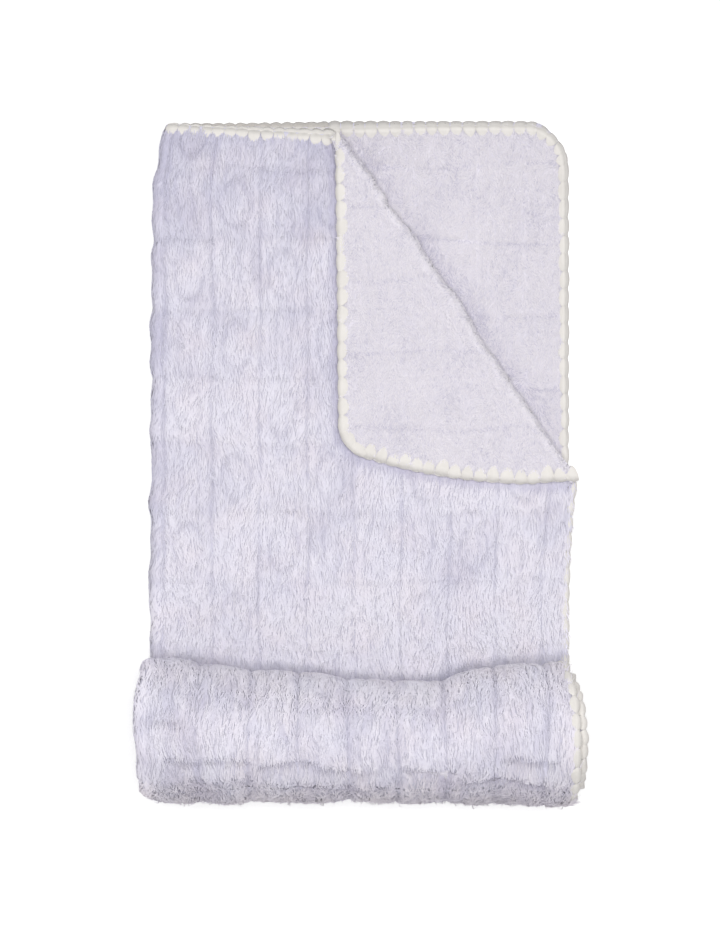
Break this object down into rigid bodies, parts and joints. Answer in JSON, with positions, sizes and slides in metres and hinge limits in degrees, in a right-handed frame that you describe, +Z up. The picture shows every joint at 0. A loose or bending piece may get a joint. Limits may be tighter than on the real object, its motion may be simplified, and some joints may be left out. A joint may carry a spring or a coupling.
{
  "type": "comfort blanket lovey",
  "caption": "Double-layer baby comfort blanket with whipstitched edge, folded in half, foot rolled up and one corner turned down; the roll unrolls and the corner folds back.",
  "frame": {"origin": "middle of the underside of the folded and rolled blanket, on the surface that it lies on", "axes": "+X from the fold towards the open side edges, +Y from the roll towards the top edge, +Z up out of the laid blanket"},
  "size_m": [0.1932, 0.308, 0.0611],
  "materials": {
    "outer_plush": "long-pile velvety plush, matt, pale lavender",
    "lining": "short-pile minky lining, matt, paler lavender",
    "edging": "soft cream yarn, whipstitched"
  },
  "bodies": {
    "laid_blanket": {"laid_plush": "outer_plush", "laid_lining": "lining", "laid_back_edging": "edging", "laid_front_edging": "edging", "crease_plush": "outer_plush", "crease_lining": "lining"},
    "turned_corner": {"corner_plush": "outer_plush", "corner_lining": "lining", "corner_edging": "edging"},
    "roll_strip_01": {"roll_plush_01": "outer_plush", "roll_lining_01": "lining", "roll_back_edging_01": "edging", "roll_front_edging_01": "edging"},
    "roll_strip_02": {"roll_plush_02": "outer_plush", "roll_lining_02": "lining", "roll_back_edging_02": "edging", "roll_front_edging_02": "edging"},
    "roll_strip_03": {"roll_plush_03": "outer_plush", "roll_lining_03": "lining", "roll_back_edging_03": "edging", "roll_front_edging_03": "edging"},
    "roll_strip_04": {"roll_plush_04": "outer_plush", "roll_lining_04": "lining", "roll_back_edging_04": "edging", "roll_front_edging_04": "edging"},
    "roll_strip_05": {"roll_plush_05": "outer_plush", "roll_lining_05": "lining", "roll_back_edging_05": "edging", "roll_front_edging_05": "edging"},
    "roll_strip_06": {"roll_plush_06": "outer_plush", "roll_lining_06": "lining", "roll_back_edging_06": "edging", "roll_front_edging_06": "edging"},
    "roll_strip_07": {"roll_plush_07": "outer_plush", "roll_lining_07": "lining", "roll_back_edging_07": "edging", "roll_front_edging_07": "edging"},
    "roll_strip_08": {"roll_plush_08": "outer_plush", "roll_lining_08": "lining", "roll_back_edging_08": "edging", "roll_front_edging_08": "edging"},
    "roll_strip_09": {"roll_plush_09": "outer_plush", "roll_lining_09": "lining", "roll_back_edging_09": "edging", "roll_front_edging_09": "edging"},
    "roll_strip_10": {"roll_plush_10": "outer_plush", "roll_lining_10": "lining", "roll_back_edging_10": "edging", "roll_front_edging_10": "edging"},
    "roll_strip_11": {"roll_plush_11": "outer_plush", "roll_lining_11": "lining", "roll_back_edging_11": "edging", "roll_front_edging_11": "edging"},
    "roll_strip_12": {"roll_plush_12": "outer_plush", "roll_lining_12": "lining", "roll_hem_edging_12": "edging"}
  },
  "joints": [
    {"name": "corner_fold", "type": "hinge", "parent": "laid_blanket", "child": "turned_corner", "pos_m": [0.04189, 0.07178, 0.00985], "axis": [-0.5543, 0.8323, 0], "range_deg": [0, 180], "deforming": ["crease_plush", "crease_lining"]},
    {"name": "unroll", "type": "hinge", "parent": "laid_blanket", "child": "roll_strip_01", "pos_m": [0, -0.13955, 0.00515], "axis": [1, 0, 0], "range_deg": [0, 63.53]},
    {"name": "unroll_02", "type": "hinge", "parent": "roll_strip_01", "child": "roll_strip_02", "pos_m": [0, -0.15398, 0.03303], "axis": [1, 0, 0], "range_deg": [-0.5, 60.65]},
    {"name": "unroll_03", "type": "hinge", "parent": "roll_strip_02", "child": "roll_strip_03", "pos_m": [0, -0.13788, 0.05803], "axis": [1, 0, 0], "range_deg": [-0.5, 60.66]},
    {"name": "unroll_04", "type": "hinge", "parent": "roll_strip_03", "child": "roll_strip_04", "pos_m": [0, -0.10985, 0.05659], "axis": [1, 0, 0], "range_deg": [-0.5, 60.69]},
    {"name": "unroll_05", "type": "hinge", "parent": "roll_strip_04", "child": "roll_strip_05", "pos_m": [0, -0.09792, 0.03303], "axis": [1, 0, 0], "range_deg": [-0.5, 60.71]},
    {"name": "unroll_06", "type": "hinge", "parent": "roll_strip_05", "child": "roll_strip_06", "pos_m": [0, -0.11152, 0.01236], "axis": [1, 0, 0], "range_deg": [-0.5, 60.74]},
    {"name": "unroll_07", "type": "hinge", "parent": "roll_strip_06", "child": "roll_strip_07", "pos_m": [0, -0.13455, 0.01381], "axis": [1, 0, 0], "range_deg": [-0.5, 60.78]},
    {"name": "unroll_08", "type": "hinge", "parent": "roll_strip_07", "child": "roll_strip_08", "pos_m": [0, -0.14398, 0.03303], "axis": [1, 0, 0], "range_deg": [-0.5, 60.83]},
    {"name": "unroll_09", "type": "hinge", "parent": "roll_strip_08", "child": "roll_strip_09", "pos_m": [0, -0.13288, 0.04937], "axis": [1, 0, 0], "range_deg": [-0.5, 60.89]},
    {"name": "unroll_10", "type": "hinge", "parent": "roll_strip_09", "child": "roll_strip_10", "pos_m": [0, -0.11485, 0.04793], "axis": [1, 0, 0], "range_deg": [-0.5, 60.96]},
    {"name": "unroll_11", "type": "hinge", "parent": "roll_strip_10", "child": "roll_strip_11", "pos_m": [0, -0.10792, 0.03303], "axis": [1, 0, 0], "range_deg": [-0.5, 61.07]},
    {"name": "unroll_12", "type": "hinge", "parent": "roll_strip_11", "child": "roll_strip_12", "pos_m": [0, -0.11652, 0.02102], "axis": [1, 0, 0], "range_deg": [-0.5, 61.21]}
  ],
  "couplings": [
    {"joint": "unroll_02", "follows": "unroll", "ratio": 0.94676},
    {"joint": "unroll_03", "follows": "unroll", "ratio": 0.94703},
    {"joint": "unroll_04", "follows": "unroll", "ratio": 0.94736},
    {"joint": "unroll_05", "follows": "unroll", "ratio": 0.94776},
    {"joint": "unroll_06", "follows": "unroll", "ratio": 0.94824},
    {"joint": "unroll_07", "follows": "unroll", "ratio": 0.94883},
    {"joint": "unroll_08", "follows": "unroll", "ratio": 0.94956},
    {"joint": "unroll_09", "follows": "unroll", "ratio": 0.95051},
    {"joint": "unroll_10", "follows": "unroll", "ratio": 0.95173},
    {"joint": "unroll_11", "follows": "unroll", "ratio": 0.95338},
    {"joint": "unroll_12", "follows": "unroll", "ratio": 0.95564}
  ]
}
